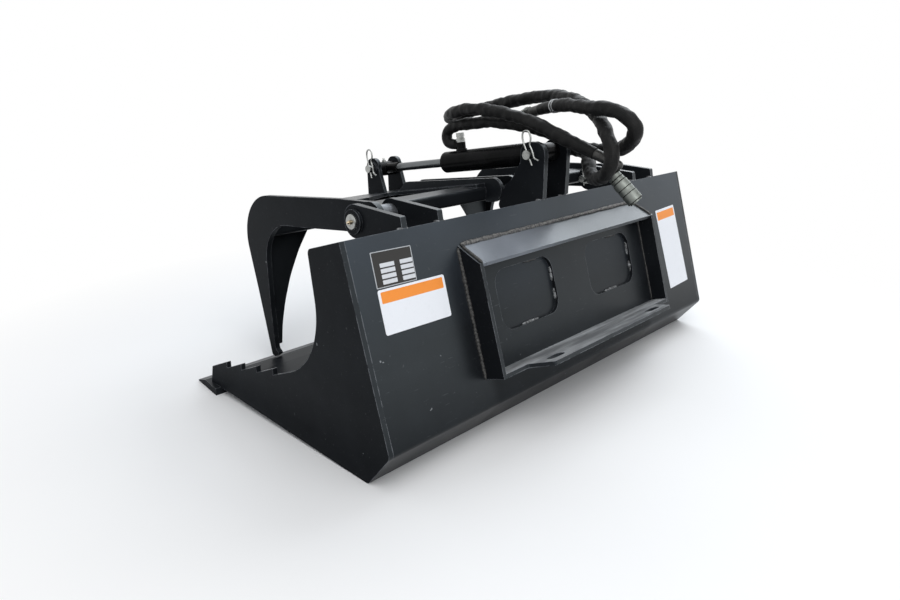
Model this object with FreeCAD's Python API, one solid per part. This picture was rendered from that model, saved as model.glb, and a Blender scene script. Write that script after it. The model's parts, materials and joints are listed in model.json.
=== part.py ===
"""Stump grapple bucket for a mini skid steer, in millimetres.

+X is the machine driver's left, -Y the mouth of the bucket, +Y the mount side, +Z up. The origin is on the
ground under the middle of the plan. Sizes and routes below count from the heel of the bucket, the bend that
rests on the ground, and the last lines move the whole part from there to the origin.
"""

import FreeCAD
import Part

import math
import os

V = FreeCAD.Vector

# Bucket
WIDTH = 1118.0            # over the side plates
SIDE_T = 10.0
SHEET_T = 8.0             # bent sheet of floor, heel bevel and back
HEEL_DROP = 0.15          # the bend's round just touches the ground
HEEL_R = 10.0
BEVEL_Y = 57.1            # top of the heel bevel
BEVEL_Z = 70.5
BEVEL_R = 12.0
BACK_LEAN = 17.0          # degrees, forward of upright
BACK_LENGTH = 353.75
EDGE_T = 16.0             # cutting edge
EDGE_REAR = 491.6         # its rear edge, ahead of the heel
EDGE_L = 98.4             # from there to its tip
EDGE_BEVEL = 40.0
EDGE_TIP_T = 3.0
EDGE_OVERHANG = 12.5      # past each side plate at its rear
EDGE_TIP_OVERHANG = 2.0
RIM_LENGTH = 90.7         # top of a side plate, square to the back
WAIST_Y = -105.0          # corner between the upright front of a side plate and its ramp
WAIST_Z = 184.0
WAIST_R = 150.0
STEP_FIRST = 274.0        # first step of the saw-toothed ramp
STEP_TOP_Z = 126.0
STEP_PITCH = 60.0
STEP_FALL = 13.5          # from one step's top to the next
STEPS = 4
CHEEK_END_Z = 56.5
CHEEK_LAP = 39.4          # foot of a side plate, on the cutting edge ahead of its rear
CHEEK_NOSE = 11.6         # its nose, behind the foot
FLOOR_SHORT = 3.0         # the floor ends this far behind the foot

# Quick-attach frame on the back; s runs up the back from the bevel, o stands off it
FRAME_W = 618.0
FRAME_WALL = 8.0
PANEL_LOW = 62.0
PANEL_TOP = 286.7
PANEL_BEVEL = 5.0         # weld preparation under the hook
WINDOW_W = 179.0
WINDOW_H = 118.0
WINDOW_R = 30.0
WINDOW_X = 150.5
WINDOW_S = 183.0
FLANGE_TOP = 304.0
FLANGE_TIP_S = 265.0
FLANGE_DEPTH = 46.0
LEDGE_DEPTH = 97.0
LEDGE_ROOT_W = 476.0
LEDGE_TIP_W = 442.0
SLOT_X = 184.8
SLOT_O = 71.0
SLOT_L = 45.0
SLOT_W = 19.0

# Grapple pivots
PIVOT_AHEAD = 125.7       # ahead of and below the top of the back
PIVOT_BELOW = 5.8
PIN_R = 14.3
RUNNING = 0.05            # radial clearance of a pin in its bore
EAR_T = 12.0
EAR_INSET = 143.0         # inner face of the outer ear, in from the bucket's side
EAR_SPACING = 87.0
EAR_R = 31.0
EAR_ROOT = 66.0           # length down the inside of the back
BOSS_R = 22.5
BOSS_T = 6.0
PIN_HEAD_T = 4.0
PIN_TAIL = 33.0           # past the inner ear
TAIL_TURNED_R = 8.5       # turned down for its clip
TAIL_TURNED_L = 24.0
CLIP_LOOP = 10.0          # unit of a hairpin clip's loop
PIVOT_CLIP_LOOP = 6.0
PIVOT_CLIP_TURN = {"left": 165, "right": 12}    # degrees back from upright
BASE_CLIP_TURN = 28
ROD_CLIP_TURN = 18
PLAY = 1.0                # between pieces that pass one another

# Grapple
TINE_SET = 51.0           # inner face of a tine, out from that of the inner ear
TINE_T = 12.0
TINE_NOSE_AHEAD = 473.1   # sharp corner of its back, from the pivot
TINE_NOSE_BELOW = 10.7
TINE_NOSE_R = 104.5
TINE_THROAT_AHEAD = 371.0
TINE_THROAT_BELOW = 63.0
TINE_THROAT_R = 95.0
TINE_ARM_TOP = [(5, 30.6), (-95, 25)]                 # from the pivot
TINE_FRONT = (-416, -231, 700)
TINE_POINT = [(-381, 3, 3), (-369, 0, 3), (-352, 12, 3), (-365.5, 21, 8), (-370.5, 120, 400)]
TINE_ARM_UNDER = [(-201, -48, 600), (-82, -35.6, 300), (-8, -29.9)]
TINE_TIP_GAP = 5.0        # tip above the cutting edge
TUBE_R = 22.0             # pivot tube
FRONT_TUBE_W = 70.0
FRONT_TUBE_H = 50.0
FRONT_TUBE_R = 8.0
FRONT_TUBE_WALL = 5.0
FRONT_TUBE_AHEAD = 432.0  # its lower front corner to the pivot
FRONT_TUBE_DROP = 55.4    # its front top corner below the pivot
DECK_TILT = 9.85          # degrees
DECK_T = 8.0
DECK_WAIST_W = 450.0
DECK_SPINE_W = 120.0
DECK_SHOULDER = 200.0     # from its front edge to the ends of its wings
DECK_NOTCH = 116.0
CROSS_W = 50.0
CROSS_H = 30.0
CROSS_AHEAD = 83.0        # its front face to the pivot
CROSS_BELOW = 17.0
CROSS_WALL = 4.0
RIB_X = 22.0
RIB_T = 10.0
RIB_LINE = [(-59, 29, 120), (-6, 36, 20), (21, 9, 24), (-6, -18, 20)]   # from the pivot
RIB_START = 115.0         # from the deck's front edge
WEB_T = 8.0
WEB_AHEAD = 398.0
WEB_BELOW = 97.0
WEB_LENGTH = 258.0
WEB_LEAN = 4.467          # degrees, forward of upright at its top
WEB_W = 118.0
WEB_EDGE = [(85, 46, 200), (54, 103, 300), (32, 160, 300), (17, 213, 300)]   # width and length down
WEB_TIP_W = 10.0
LUG_X = 30.0              # clevis ears on the deck
LUG_T = 10.0
LUG_R = 25.0
LUG_BOSS_R = 16.0
LUG_BOSS_T = 5.0

# Cylinder
ROD_PIN_AHEAD = 408.0     # from the pivot
ROD_PIN_ABOVE = 21.0
BASE_PIN_AHEAD = -96.0
BASE_PIN_ABOVE = 95.0
SMALL_PIN_R = 9.5
EYE_LOST = 5.3            # extra radius of the rod eye on its pin
EYE_R = 18.0
EYE_W = 58.0
NECK_R = 12.5             # socket of the eye that takes the rod
NECK_L = 56.0
ROD_IN_NECK = 30.0
ROD_R = 10.0
BARREL_R = 24.5
BORE_R = 20.0
BARREL_FRONT = 279.0      # from the base pin, along the cylinder
GLAND_L = 32.0
GLAND_PROUD = 4.0
CAP_L = 26.0
BASE_LUG_R = 20.0
BASE_LUG_W = 62.0
PISTON_L = 30.0
REST_LONGER = 3.3         # the rod eye rests off its pin's centre by these
REST_LOWER = 0.42         # degrees
PORT_AT = 232.0
BASE_PORT_AT = 50.0
BRACKET_X = 33.0
BRACKET_T = 12.0
BRACKET_FRONT = [(-25, 25, 23), (-25, -17, 12), (-49, -58, 40), (-65, -69, 14), (-84, -118, 12)]  # from the pin
BRACKET_REAR = 36.0
BRACKET_ROOT = 86.0       # length down the inside of the back
CLIP_R = 1.9
PORT_R = 13.0
PORT_H = 3.0
PORT_HOLE_R = 6.0
TEE_H = 15.0
TEE_R = 10.5
NUT_GRIP = 3.0            # arm of an elbow, inside its nut
ELBOW_R = 8.5
ELBOW_LEG = 9.0

# Hoses in sleeves: each list is the hose's route from its elbow, laid out with the base pin at ROUTE_PIN
SLEEVE_R = 12.0
ROUTE_PIN_Y = -76.0265
ROUTE_PIN_Z = 497.9928
ROD_HOSE = [
    (0, -324, 499), (0, -355, 495), (-2, -361, 529), (0, -312, 545), (2, -201, 557), (-5, -84, 546),
    (-16, 12, 509), (-15, 82, 512), (18, 133, 529), (44, 162, 565), (49, 119, 594), (37, 43, 594),
    (10, -40, 597), (-8, -95, 584),
]
BASE_HOSE = [
    (-68, -108, 491), (-72, -56, 503), (-60, -10, 500), (-34, 12, 482), (14, 54, 455), (63, 115, 475),
    (66, 129, 511), (48, 98, 554), (4, 47, 581), (-42, -36, 607), (-78, -123, 611), (-82, -217, 598),
    (-93, -312, 579), (-90, -383, 563), (-30, -386, 551), (16, -325, 573), (34, -229, 585),
    (28, -96, 566), (27, 5, 528), (24, 64, 508),
]
CRIMP_R = 10.5
CRIMP_L = 34.0
COUPLER_R = 15.5
COUPLER_L = 66.0
COUPLER_RINGS = [         # end of each turned ring and how far it lies under the full radius
    (7, 2), (9, 3.5), (15, 1.5), (17, 3), (31, 0), (32.5, 1.2), (43, 0), (44.5, 1.2), (62, -0.4), (COUPLER_L, 3),
]
SOCKET_DEEP = 20.0
TAIL_R = 9.5
TAIL_L = 26.0
NUT_L = 10.0
COUPLER_AT = (22, 106, 470)
COUPLER_AIM = (-0.2, 0.69, -0.70)

LEAN = math.radians(BACK_LEAN)
UP = V(0, -math.sin(LEAN), math.cos(LEAN))
OUT = V(0, math.cos(LEAN), math.sin(LEAN))
FOOT = V(0, BEVEL_Y, BEVEL_Z)
BACK_TOP = FOOT + UP * BACK_LENGTH
PIVOT = BACK_TOP - V(0, PIVOT_AHEAD, PIVOT_BELOW)
EAR_OUTER_X = WIDTH / 2 - EAR_INSET
EAR_INNER_X = EAR_OUTER_X - EAR_SPACING
TINE_X = EAR_INNER_X + TINE_SET
CHEEK_FOOT = EDGE_REAR + CHEEK_LAP
EDGE_FRONT = EDGE_REAR + EDGE_L
BASE_PIN = PIVOT + V(0, -BASE_PIN_AHEAD, BASE_PIN_ABOVE)


def laid(point):
    """A point of a hose's route, moved along with the base pin."""
    return (point[0], point[1] + BASE_PIN.y - ROUTE_PIN_Y, point[2] + BASE_PIN.z - ROUTE_PIN_Z)


ROD_ROUTE = [laid(p) for p in ROD_HOSE]
BASE_ROUTE = [laid(p) for p in BASE_HOSE]
COUPLER_START = V(*laid(COUPLER_AT))


def outline(points, place):
    """Closed wire through (a, b) or (a, b, radius); a corner with a radius becomes a tangent arc."""
    corners = []
    count = len(points)
    for i, p in enumerate(points):
        here = V(p[0], p[1], 0)
        if len(p) < 3:
            corners.append((here, None, here))
            continue
        back = V(points[i - 1][0], points[i - 1][1], 0) - here
        ahead = V(points[(i + 1) % count][0], points[(i + 1) % count][1], 0) - here
        back.normalize()
        ahead.normalize()
        half = back.getAngle(ahead) / 2
        reach = p[2] / math.tan(half)
        inward = back + ahead
        inward.normalize()
        middle = here + inward * (p[2] / math.sin(half) - p[2])
        corners.append((here + back * reach, middle, here + ahead * reach))
    edges = []
    for i in range(count):
        start, middle, end = corners[i]
        if middle is not None:
            edges.append(Part.Arc(place(start), place(middle), place(end)).toShape())
        following = corners[(i + 1) % count][0]
        if end.distanceToPoint(following) > 1e-6:
            edges.append(Part.makeLine(place(end), place(following)))
    return Part.Wire(edges)


def across(points, x0, x1):
    """Plate between x0 and x1 with an outline in (y, z)."""
    wire = outline(points, lambda p: V(x0, p.x, p.y))
    return Part.Face(wire).extrude(V(x1 - x0, 0, 0))


def on_back(points, o0, o1):
    """Plate along the back, with an outline in (x, s), between two distances off it."""
    wire = outline(points, lambda p: FOOT + V(p.x, 0, 0) + UP * p.y + OUT * o0)
    return Part.Face(wire).extrude(OUT * (o1 - o0))


def profile_on_back(points, x0, x1):
    """Flange along X, with a profile in (o, s)."""
    wire = outline(points, lambda p: FOOT + V(x0, 0, 0) + OUT * p.x + UP * p.y)
    return Part.Face(wire).extrude(V(x1 - x0, 0, 0))


def rod(radius, start, end):
    run = end - start
    return Part.makeCylinder(radius, run.Length, start, run)


def pair(make, side):
    """The piece as made for +X, or its mirror image for -X."""
    shape = make()
    return shape if side == "left" else shape.mirror(V(0, 0, 0), V(1, 0, 0))


def single(shape):
    """The one solid of a finished shape, with split faces merged."""
    shape = shape.removeSplitter()
    solids = shape.Solids
    return solids[0] if len(solids) == 1 else Part.makeCompound(solids)


def tube(points, radius):
    """Round tube along straight runs joined by tangent arcs; returns the solid and its tightest bend."""
    path = [V(*p) for p in points]
    edges = []
    tightest = 1e9
    last = path[0]
    for i in range(1, len(path) - 1):
        back = path[i - 1] - path[i]
        ahead = path[i + 1] - path[i]
        reach = 0.45 * min(back.Length, ahead.Length)
        back.normalize()
        ahead.normalize()
        half = back.getAngle(ahead) / 2
        bend = reach * math.tan(half)
        tightest = min(tightest, bend)
        inward = back + ahead
        inward.normalize()
        start = path[i] + back * reach
        middle = path[i] + inward * (bend / math.sin(half) - bend)
        end = path[i] + ahead * reach
        edges.append(Part.makeLine(last, start))
        edges.append(Part.Arc(start, middle, end).toShape())
        last = end
    edges.append(Part.makeLine(last, path[-1]))
    spine = Part.Wire(edges)
    first = path[1] - path[0]
    section = Part.Wire([Part.makeCircle(radius, path[0], first)])
    solid = spine.makePipeShell([section], True, True)
    length = sum(e.Length for e in edges)
    return Part.Solid(solid) if solid.ShapeType != "Solid" else solid, tightest, length


def bent(points, radius):
    """Straight round bars through the points with a ball at each knee, as in a forged elbow."""
    pieces = [rod(radius, a, b) for a, b in zip(points, points[1:])]
    pieces += [Part.makeSphere(radius, p) for p in points[1:-1]]
    return pieces[0].multiFuse(pieces[1:]).removeSplitter()


# Bucket pieces

def half_inner():
    return WIDTH / 2 - SIDE_T


def bucket_shell():
    """Floor, heel bevel and back in one bent sheet: the outer line and the same line one thickness in."""
    heel = V(0, 0, -HEEL_DROP)
    rise = V(0, -EDGE_REAR, EDGE_T)
    line = [V(0, FLOOR_SHORT - CHEEK_FOOT, EDGE_T), rise, heel, FOOT, BACK_TOP]
    inner = []
    for i, p in enumerate(line):
        sides = []
        if i > 0:
            d = line[i] - line[i - 1]
            sides.append(V(0, -d.z, d.y).normalize())
        if i < len(line) - 1:
            d = line[i + 1] - line[i]
            sides.append(V(0, -d.z, d.y).normalize())
        n = sides[0] if len(sides) == 1 else sides[0] + sides[1]
        n.normalize()
        inner.append(p + n * (SHEET_T / n.dot(sides[0])))
    x = half_inner()
    outer = [(p.y, p.z) for p in line]
    points = [outer[0], outer[1], outer[2] + (HEEL_R,), outer[3] + (BEVEL_R,), outer[4]]
    back = [(p.y, p.z) for p in inner]
    points += [back[4], back[3] + (BEVEL_R - SHEET_T,), back[2] + (HEEL_R - SHEET_T,), back[1], back[0]]
    return across(points, -x, x)


def side_plate():
    rim_front = BACK_TOP - OUT * RIM_LENGTH
    points = [(0, -HEEL_DROP, HEEL_R), (BEVEL_Y, BEVEL_Z, BEVEL_R), (BACK_TOP.y, BACK_TOP.z)]
    points += [(rim_front.y, rim_front.z, 10), (WAIST_Y, WAIST_Z, WAIST_R)]
    for step in range(STEPS):
        y = -STEP_FIRST - step * STEP_PITCH
        top = STEP_TOP_Z - step * STEP_FALL
        points += [(y, top - STEP_FALL), (y, top)]
    points += [(CHEEK_NOSE - CHEEK_FOOT, CHEEK_END_Z, 4), (-CHEEK_FOOT, EDGE_T), (-EDGE_REAR, EDGE_T)]
    return across(points, half_inner(), WIDTH / 2)


def cutting_edge():
    flat = EDGE_FRONT - EDGE_BEVEL
    rear = WIDTH / 2 + EDGE_OVERHANG
    tip = WIDTH / 2 + EDGE_TIP_OVERHANG
    side = [(-EDGE_REAR, 0), (-EDGE_REAR, EDGE_T), (-flat, EDGE_T), (-EDGE_FRONT, EDGE_TIP_T), (-EDGE_FRONT, 0)]
    bar = across(side, -rear, rear)
    plan = [(-rear, -EDGE_REAR), (rear, -EDGE_REAR), (tip, -EDGE_FRONT), (-tip, -EDGE_FRONT)]
    wire = outline(plan, lambda p: V(p.x, p.y, 0))
    return bar.common(Part.Face(wire).extrude(V(0, 0, EDGE_T)))


def frame_inner():
    return FRAME_W / 2 - FRAME_WALL


def mount_panel():
    x = frame_inner()
    side = [(0, PANEL_LOW), (FRAME_WALL, PANEL_LOW), (FRAME_WALL, PANEL_TOP - PANEL_BEVEL)]
    side += [(FRAME_WALL - PANEL_BEVEL, PANEL_TOP), (0, PANEL_TOP)]
    panel = profile_on_back(side, -x, x)
    for middle in (-WINDOW_X, WINDOW_X):
        x0 = middle - WINDOW_W / 2
        x1 = middle + WINDOW_W / 2
        s0 = WINDOW_S - WINDOW_H / 2
        s1 = WINDOW_S + WINDOW_H / 2
        corners = [(x0, s0, WINDOW_R), (x1, s0, WINDOW_R), (x1, s1, WINDOW_R), (x0, s1, WINDOW_R)]
        panel = panel.cut(on_back(corners, -1, FRAME_WALL + 1))
    return panel


def hook_profile():
    """Flange that leans down and out from the back, over the machine's plate."""
    run = V(FLANGE_DEPTH, FLANGE_TIP_S - FLANGE_TOP, 0)
    side = V(run.y, -run.x, 0).normalize()
    tip = V(FLANGE_DEPTH, FLANGE_TIP_S, 0)
    under = tip + side * FRAME_WALL
    slope = run.y / run.x
    foot = under.y - slope * (under.x - FRAME_WALL)
    return tip, under, foot


def mount_hook():
    tip, under, foot = hook_profile()
    points = [(0, FLANGE_TOP), (tip.x, tip.y), (under.x, under.y), (FRAME_WALL, foot), (FRAME_WALL, PANEL_TOP)]
    if foot > PANEL_TOP + 0.01:
        points = points[:4] + [(FRAME_WALL, PANEL_TOP), (0, PANEL_TOP)]
    else:
        points = points[:3] + [(FRAME_WALL, foot), (0, foot)]
    hook = profile_on_back(points, -frame_inner(), frame_inner())
    return hook.cut(mount_panel())


def mount_side():
    foot = PANEL_LOW - FRAME_WALL
    points = [(0, FLANGE_TOP), (FLANGE_DEPTH, FLANGE_TIP_S), (FLANGE_DEPTH, foot), (0, foot)]
    return profile_on_back(points, frame_inner(), FRAME_W / 2)


def mount_ledge():
    """Shelf along the foot of the frame, with the two slots for the machine's lock pins."""
    x = frame_inner()
    root = LEDGE_ROOT_W / 2
    tip = LEDGE_TIP_W / 2
    foot = PANEL_LOW - FRAME_WALL
    plan = [
        (-x, 0), (x, 0), (x, FLANGE_DEPTH), (root, FLANGE_DEPTH, 6), (tip, LEDGE_DEPTH, 6),
        (-tip, LEDGE_DEPTH, 6), (-root, FLANGE_DEPTH, 6), (-x, FLANGE_DEPTH),
    ]
    wire = outline(plan, lambda p: FOOT + V(p.x, 0, 0) + OUT * p.y + UP * foot)
    shelf = Part.Face(wire).extrude(UP * FRAME_WALL)
    for middle in (-SLOT_X, SLOT_X):
        half = SLOT_L / 2
        wide = SLOT_W / 2
        round_off = wide - 0.5
        corners = [
            (middle - half, SLOT_O - wide, round_off), (middle + half, SLOT_O - wide, round_off),
            (middle + half, SLOT_O + wide, round_off), (middle - half, SLOT_O + wide, round_off),
        ]
        wire = outline(corners, lambda p: FOOT + V(p.x, 0, 0) + OUT * p.y + UP * (foot - 1))
        shelf = shelf.cut(Part.Face(wire).extrude(UP * (FRAME_WALL + 2)))
    return shelf


def around(centre, points):
    """The same (y, z) or (y, z, radius) points, counted from a centre."""
    return [(centre.y + p[0], centre.z + p[1]) + tuple(p[2:]) for p in points]


def inner_back(down):
    """Point on the inside of the back, this far below its top edge."""
    return BACK_TOP - OUT * SHEET_T - UP * down


def pivot_ear(x0):
    """Lug welded over the back's top edge and down its inside, round about the pivot at the front."""
    top = inner_back(0)
    low = inner_back(EAR_ROOT)
    round_end = Part.makeCylinder(EAR_R, EAR_T, V(x0, PIVOT.y, PIVOT.z), V(1, 0, 0))
    rise = math.radians(86)
    upper = PIVOT + V(0, math.cos(rise), math.sin(rise)) * EAR_R
    drop = math.radians(-112)
    lower = PIVOT + V(0, math.cos(drop), math.sin(drop)) * EAR_R
    points = [
        (upper.y, upper.z), (BACK_TOP.y - 3.7, BACK_TOP.z + 19.2, 4), (BACK_TOP.y, BACK_TOP.z),
        (top.y, top.z), (low.y, low.z), (lower.y, lower.z), (PIVOT.y, PIVOT.z),
    ]
    ear = across(points, x0, x0 + EAR_T).fuse(round_end)
    bore = Part.makeCylinder(PIN_R, EAR_T + 2, V(x0 - 1, PIVOT.y, PIVOT.z), V(1, 0, 0))
    return ear.cut(bore)


def pivot_boss():
    x = EAR_OUTER_X + EAR_T
    ring = Part.makeCylinder(BOSS_R, BOSS_T, V(x, PIVOT.y, PIVOT.z), V(1, 0, 0))
    return ring.cut(Part.makeCylinder(PIN_R, BOSS_T, V(x, PIVOT.y, PIVOT.z), V(1, 0, 0)))


def pin_outer():
    return EAR_OUTER_X + EAR_T + BOSS_T + PIN_HEAD_T


def pivot_pin(turn):
    x0 = EAR_INNER_X - PIN_TAIL
    x1 = pin_outer()
    pin = Part.makeCylinder(PIN_R, x1 - x0, V(x0, PIVOT.y, PIVOT.z), V(1, 0, 0))
    sharp = [e for e in pin.Edges if e.Curve.TypeId == "Part::GeomCircle"]
    pin = pin.makeChamfer(1.5, sharp)
    tail = Part.makeCylinder(PIN_R + 1, TAIL_TURNED_L + 1, V(x0 - 1, PIVOT.y, PIVOT.z), V(1, 0, 0))
    tail = tail.cut(Part.makeCylinder(TAIL_TURNED_R, TAIL_TURNED_L + 1, V(x0 - 1, PIVOT.y, PIVOT.z), V(1, 0, 0)))
    return pin.cut(tail).cut(clip_hole(x0 + 10, PIVOT, PIN_R, turn))


def clip_hole(x, centre, radius, turn):
    """Cross hole for the straight leg of a hairpin clip, turned back from upright."""
    hole = Part.makeCylinder(CLIP_R + RUNNING, 2 * radius + 4, V(x, centre.y, centre.z - radius - 2), V(0, 0, 1))
    hole.rotate(centre, V(1, 0, 0), turn)
    return hole


def hairpin(x, centre, radius, turn, loop):
    """Wire clip: a straight leg through the pin, a loop, and a bowed leg that grips round the pin."""
    grip = radius + CLIP_R
    bow = 0.7 * CLIP_LOOP
    route = [
        (0, -radius - 1.4 * loop), (0, radius + 2.4 * loop), (bow, radius + 3.8 * loop),
        (2.2 * CLIP_LOOP, radius + 3.4 * loop), (2.1 * CLIP_LOOP, radius + 1.7 * loop), (1.2 * CLIP_LOOP, radius + bow),
        (grip + 2, 0.45 * radius), (grip + 1, -0.5 * radius), (1.1 * CLIP_LOOP, -radius - 3),
        (2 * CLIP_LOOP, -radius - 1.2 * loop),
    ]
    points = [(x, centre.y + a, centre.z + b) for a, b in route]
    solid = tube(points, CLIP_R)[0]
    solid.rotate(centre, V(1, 0, 0), turn)
    return solid


def nipple(base, direction, size=1.0):
    """Grease nipple: hexagon, stem and round head, as one turned piece."""
    d = V(direction).normalize()
    hexagon = Part.makeCylinder(5.0 * size, 4.0 * size, base, d)
    stem = Part.makeCylinder(2.6 * size, 8.5 * size, base, d)
    head = Part.makeCone(3.4 * size, 2.4 * size, 3.2 * size, base + d * 6.2 * size, d)
    return hexagon.fuse(stem).fuse(head).removeSplitter()


def rod_pin_place():
    return PIVOT + V(0, -ROD_PIN_AHEAD, ROD_PIN_ABOVE)


def base_bracket():
    """Ear that stands on the back's top edge and carries the cylinder's base pin."""
    pin = BASE_PIN
    top = inner_back(0)
    low = inner_back(BRACKET_ROOT)
    rear = pin.y + BRACKET_REAR
    points = around(pin, BRACKET_FRONT)
    points += [(low.y, low.z), (top.y, top.z), (BACK_TOP.y, BACK_TOP.z), (rear, BACK_TOP.z + 3)]
    points += [(rear, pin.z + BRACKET_FRONT[0][1], BRACKET_FRONT[0][2] + 1)]
    ear = across(points, BRACKET_X, BRACKET_X + BRACKET_T)
    return ear.cut(Part.makeCylinder(SMALL_PIN_R, BRACKET_T + 2, V(BRACKET_X - 1, pin.y, pin.z), V(1, 0, 0)))


def small_pin(centre, half_width, turn):
    """Pin with a round head on -X and a cross hole for its clip on +X."""
    x0 = -half_width - 5
    x1 = half_width + 15
    head = Part.makeCylinder(SMALL_PIN_R + 4.5, 5, V(x0, centre.y, centre.z), V(1, 0, 0))
    shank = Part.makeCylinder(SMALL_PIN_R, x1 - x0, V(x0, centre.y, centre.z), V(1, 0, 0))
    pin = shank.fuse(head).removeSplitter()
    return pin.cut(clip_hole(x1 - 7, centre, SMALL_PIN_R, turn)), x1 - 7


# Grapple pieces

def tine():
    """Curved finger: a long flat arm from the pivot, a round nose and a straight drop to the point."""
    p = PIVOT
    tip = EDGE_T + TINE_TIP_GAP
    nose = (p.y - TINE_NOSE_AHEAD, p.z - TINE_NOSE_BELOW, TINE_NOSE_R)
    throat = (p.y - TINE_THROAT_AHEAD, p.z - TINE_THROAT_BELOW, TINE_THROAT_R)
    points = around(p, TINE_ARM_TOP) + [nose] + around(p, [TINE_FRONT])
    points += around(V(0, p.y, tip), TINE_POINT)
    points += [throat] + around(p, TINE_ARM_UNDER) + [(p.y, p.z)]
    blade = across(points, TINE_X, TINE_X + TINE_T)
    blade = blade.fuse(Part.makeCylinder(EAR_R, TINE_T, V(TINE_X, p.y, p.z), V(1, 0, 0)))
    return blade.cut(Part.makeCylinder(TUBE_R, TINE_T + 2, V(TINE_X - 1, p.y, p.z), V(1, 0, 0)))


def pivot_tube():
    """Bushed tube through the arm, up to the inner ear, which keeps the grapple from sliding sideways."""
    x0 = EAR_INNER_X + EAR_T + PLAY
    x1 = TINE_X + TINE_T + 2
    outer = Part.makeCylinder(TUBE_R, x1 - x0, V(x0, PIVOT.y, PIVOT.z), V(1, 0, 0))
    bore = Part.makeCylinder(PIN_R + RUNNING, x1 - x0 + 2, V(x0 - 1, PIVOT.y, PIVOT.z), V(1, 0, 0))
    return outer.cut(bore)


def deck_frame():
    """Corner and directions of the front tube and the deck plate that lies on it."""
    tilt = math.radians(DECK_TILT)
    along = V(0, math.cos(tilt), math.sin(tilt))
    normal = V(0, -math.sin(tilt), math.cos(tilt))
    corner = PIVOT - V(0, FRONT_TUBE_AHEAD, FRONT_TUBE_DROP)
    return corner, along, normal


def front_tube_section(grow, x):
    corner, along, normal = deck_frame()
    radius = FRONT_TUBE_R - grow
    points = [
        (grow, -FRONT_TUBE_H + grow, radius), (FRONT_TUBE_W - grow, -FRONT_TUBE_H + grow, radius),
        (FRONT_TUBE_W - grow, -grow, radius), (grow, -grow, radius),
    ]
    return Part.Face(outline(points, lambda p: corner + V(x, 0, 0) + along * p.x + normal * p.y))


def front_tube(wall=True):
    solid = front_tube_section(0, -TINE_X).extrude(V(2 * TINE_X, 0, 0))
    if wall:
        solid = solid.cut(front_tube_section(FRONT_TUBE_WALL, -TINE_X - 1).extrude(V(2 * TINE_X + 2, 0, 0)))
    return solid


def cross_tube(wall=True):
    y = PIVOT.y - CROSS_AHEAD
    z = PIVOT.z - CROSS_BELOW

    def box(grow, reach):
        r = 6 - grow * 0.8
        points = [
            (y + grow, z + grow, r), (y + CROSS_W - grow, z + grow, r),
            (y + CROSS_W - grow, z + CROSS_H - grow, r), (y + grow, z + CROSS_H - grow, r),
        ]
        return across(points, -reach, reach)

    solid = box(0, TINE_X)
    return solid.cut(box(CROSS_WALL, TINE_X + 1)) if wall else solid


def top_plate():
    """Deck of the grapple: full width over the front tube, narrowing to a spine that runs to the cross tube."""
    corner, along, normal = deck_frame()
    full = TINE_X
    waist = DECK_WAIST_W / 2
    spine = DECK_SPINE_W / 2
    rear = (PIVOT.y - CROSS_AHEAD + CROSS_W - 4 - corner.y) / along.y
    half = [
        (full, 0), (full, FRONT_TUBE_W + 22), (full - 26, FRONT_TUBE_W + 30, 12), (waist, DECK_SHOULDER, 18),
        (waist - 26, DECK_SHOULDER, 12), (spine + 20, DECK_NOTCH, 16), (spine, DECK_NOTCH + 26, 14), (spine, rear, 4),
    ]
    plan = half + [(-p[0],) + tuple(p[1:]) for p in reversed(half)]
    wire = outline(plan, lambda p: corner + V(p.x, 0, 0) + along * p.y)
    plate = Part.Face(wire).extrude(normal * DECK_T)
    return plate.cut(cross_tube(False))


def centre_rib():
    """Upright rib on the spine that hooks over the cross tube's rear."""
    corner, along, normal = deck_frame()
    p = PIVOT
    tube_rear = p.y - CROSS_AHEAD + CROSS_W
    start = corner + along * RIB_START + normal * DECK_T
    rear = corner + along * ((tube_rear - 4 - corner.y) / along.y) + normal * DECK_T
    points = [
        (start.y, start.z), (start.y + 22, p.z - 3, 14), *around(p, RIB_LINE),
        (tube_rear, p.z + RIB_LINE[-1][1]), (tube_rear, rear.z - 9), (rear.y, rear.z - 9), (rear.y, rear.z),
    ]
    rib = across(points, RIB_X, RIB_X + RIB_T)
    return rib.cut(cross_tube(False)).cut(top_plate())


def tine_web():
    """Gusset under the front tube that follows the tine down to a point."""
    top = V(0, PIVOT.y - WEB_AHEAD, PIVOT.z - WEB_BELOW)
    lean = math.radians(WEB_LEAN)
    run = V(0, math.sin(lean), -math.cos(lean))
    rear = V(0, run.z, -run.y) * -1
    points = [(TINE_X, 0), (TINE_X - WEB_W, 0)]
    points += [(TINE_X - width, down, radius) for width, down, radius in WEB_EDGE]
    points += [(TINE_X - WEB_TIP_W, WEB_LENGTH), (TINE_X, WEB_LENGTH)]
    wire = outline(points, lambda p: top + V(p.x, 0, 0) + run * p.y)
    web = Part.Face(wire).extrude(rear * WEB_T)
    return web.cut(front_tube(False))


def clevis_ear():
    pin = rod_pin_place()
    corner, along, normal = deck_frame()
    foot_front = corner + normal * DECK_T + along * 1
    foot_rear = corner + normal * DECK_T + along * 66
    points = [
        (foot_front.y, foot_front.z), (foot_rear.y, foot_rear.z), (pin.y + 18, pin.z + 2, 20),
        (pin.y + 18, pin.z + LUG_R, 17), (pin.y - LUG_R - 2, pin.z + LUG_R, 22),
    ]
    ear = across(points, LUG_X, LUG_X + LUG_T)
    boss = Part.makeCylinder(LUG_BOSS_R, LUG_BOSS_T, V(LUG_X + LUG_T, pin.y, pin.z), V(1, 0, 0))
    bore = Part.makeCylinder(SMALL_PIN_R, LUG_T + LUG_BOSS_T + 2, V(LUG_X - 1, pin.y, pin.z), V(1, 0, 0))
    return ear.fuse(boss).cut(bore)


# Cylinder pieces, placed along the line from the base pin to the rod eye

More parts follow.
